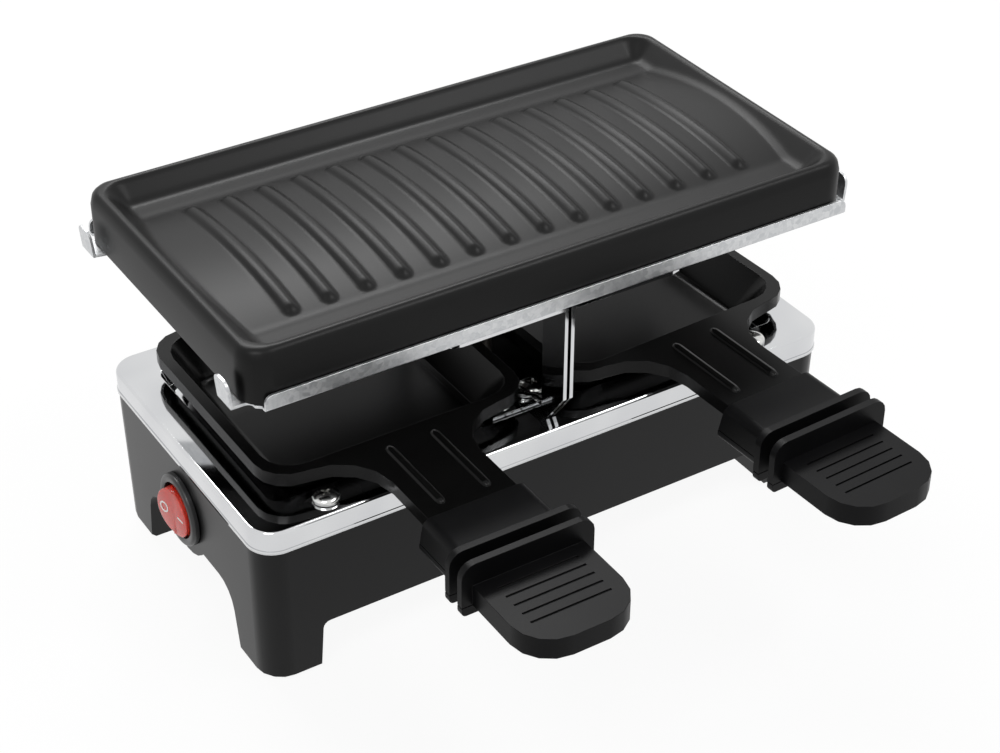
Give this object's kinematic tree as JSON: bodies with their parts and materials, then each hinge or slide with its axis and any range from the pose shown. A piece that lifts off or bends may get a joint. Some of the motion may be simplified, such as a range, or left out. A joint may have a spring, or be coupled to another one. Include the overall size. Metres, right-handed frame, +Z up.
{
  "type": "raclette grill",
  "caption": "Tabletop raclette grill: ribbed non-stick plate on sheet-steel rails and pillars over a polished deck with long-handled pans, black base with a rocker switch.",
  "frame": {"origin": "on the table, under the middle of the bounding box", "axes": "+X along the plate's long side, away from the switch; +Y away from the pan handles; +Z up"},
  "size_m": [0.221, 0.2024, 0.1241],
  "materials": {
    "housing_plastic": "satin black moulded",
    "deck_steel": "mirror-polished stainless sheet",
    "screw_steel": "nickel plated",
    "zinc_steel": "galvanised",
    "plate_coating": "black non-stick coating",
    "pan_coating": "black non-stick coating",
    "handle_plastic": "fine-grained black",
    "element_steel": "heat-darkened",
    "ceramic": "unglazed ceramic",
    "brass": "brass",
    "bezel_plastic": "dark grey",
    "red_lens": "translucent red with white marks",
    "lamp_glass": "neon lamp glass",
    "pale_plastic": "cream moulded",
    "live_jacket": "brown silicone",
    "neutral_jacket": "blue silicone",
    "earth_jacket": "green and yellow silicone"
  },
  "bodies": {
    "base": {"housing": "housing_plastic", "deck_plate": "deck_steel", "deck_screw_front_left": "screw_steel", "pillar_screw_front_left": "screw_steel", "deck_screw_front_right": "screw_steel", "pillar_screw_front_right": "screw_steel", "deck_screw_back_left": "screw_steel", "pillar_screw_back_left": "screw_steel", "deck_screw_back_right": "screw_steel", "pillar_screw_back_right": "screw_steel", "pillar_front_left": "deck_steel", "pillar_back_right": "deck_steel", "pillar_front_right": "deck_steel", "pillar_back_left": "deck_steel", "rail_front": "zinc_steel", "rail_back": "zinc_steel", "heating_element": "element_steel", "element_bush_front": "ceramic", "element_pin_front": "brass", "element_bush_back": "ceramic", "element_pin_back": "brass", "heater_bracket_left": "zinc_steel", "heater_bracket_right": "zinc_steel", "rail_rivet_front_left": "screw_steel", "rail_rivet_front_right": "screw_steel", "rail_rivet_back_left": "screw_steel", "rail_rivet_back_right": "screw_steel", "switch_body": "bezel_plastic", "switch_blade_input": "brass", "switch_blade_output": "brass", "switch_blade_lamp": "brass", "switch_lamp": "lamp_glass", "cord_gland": "housing_plastic", "terminal_block": "pale_plastic", "terminal_screw": "screw_steel", "thermal_fuse": "pale_plastic", "lead_live": "live_jacket", "lead_switched": "live_jacket", "lead_fused": "live_jacket", "lead_neutral": "neutral_jacket", "lead_lamp": "neutral_jacket", "lead_earth": "earth_jacket", "earth_tag": "brass"},
    "grill_plate": {"grill_plate": "plate_coating"},
    "switch_rocker": {"switch_rocker": "red_lens"},
    "pan_left": {"pan_left": "pan_coating", "handle_upper_left": "handle_plastic", "handle_cover_left": "handle_plastic", "handle_screw_left_back": "screw_steel", "handle_screw_left_front": "screw_steel"},
    "pan_right": {"pan_right": "pan_coating", "handle_upper_right": "handle_plastic", "handle_cover_right": "handle_plastic", "handle_screw_right_back": "screw_steel", "handle_screw_right_front": "screw_steel"}
  },
  "joints": [
    {"name": "plate_lift", "type": "slide", "parent": "base", "child": "grill_plate", "axis": [0, 0, 1], "range_m": [0, 0.05]},
    {"name": "pan_left_lift", "type": "slide", "parent": "base", "child": "pan_left", "axis": [0, -0.7071, 0.7071], "range_m": [0, 0.028]},
    {"name": "pan_right_lift", "type": "slide", "parent": "base", "child": "pan_right", "axis": [0.0321, -0.7064, 0.7071], "range_m": [0, 0.028]},
    {"name": "rocker_tilt", "type": "hinge", "parent": "base", "child": "switch_rocker", "pos_m": [-0.10458, 0.04544, 0.0335], "axis": [0, 0, -1], "range_deg": [0, 15]}
  ]
}
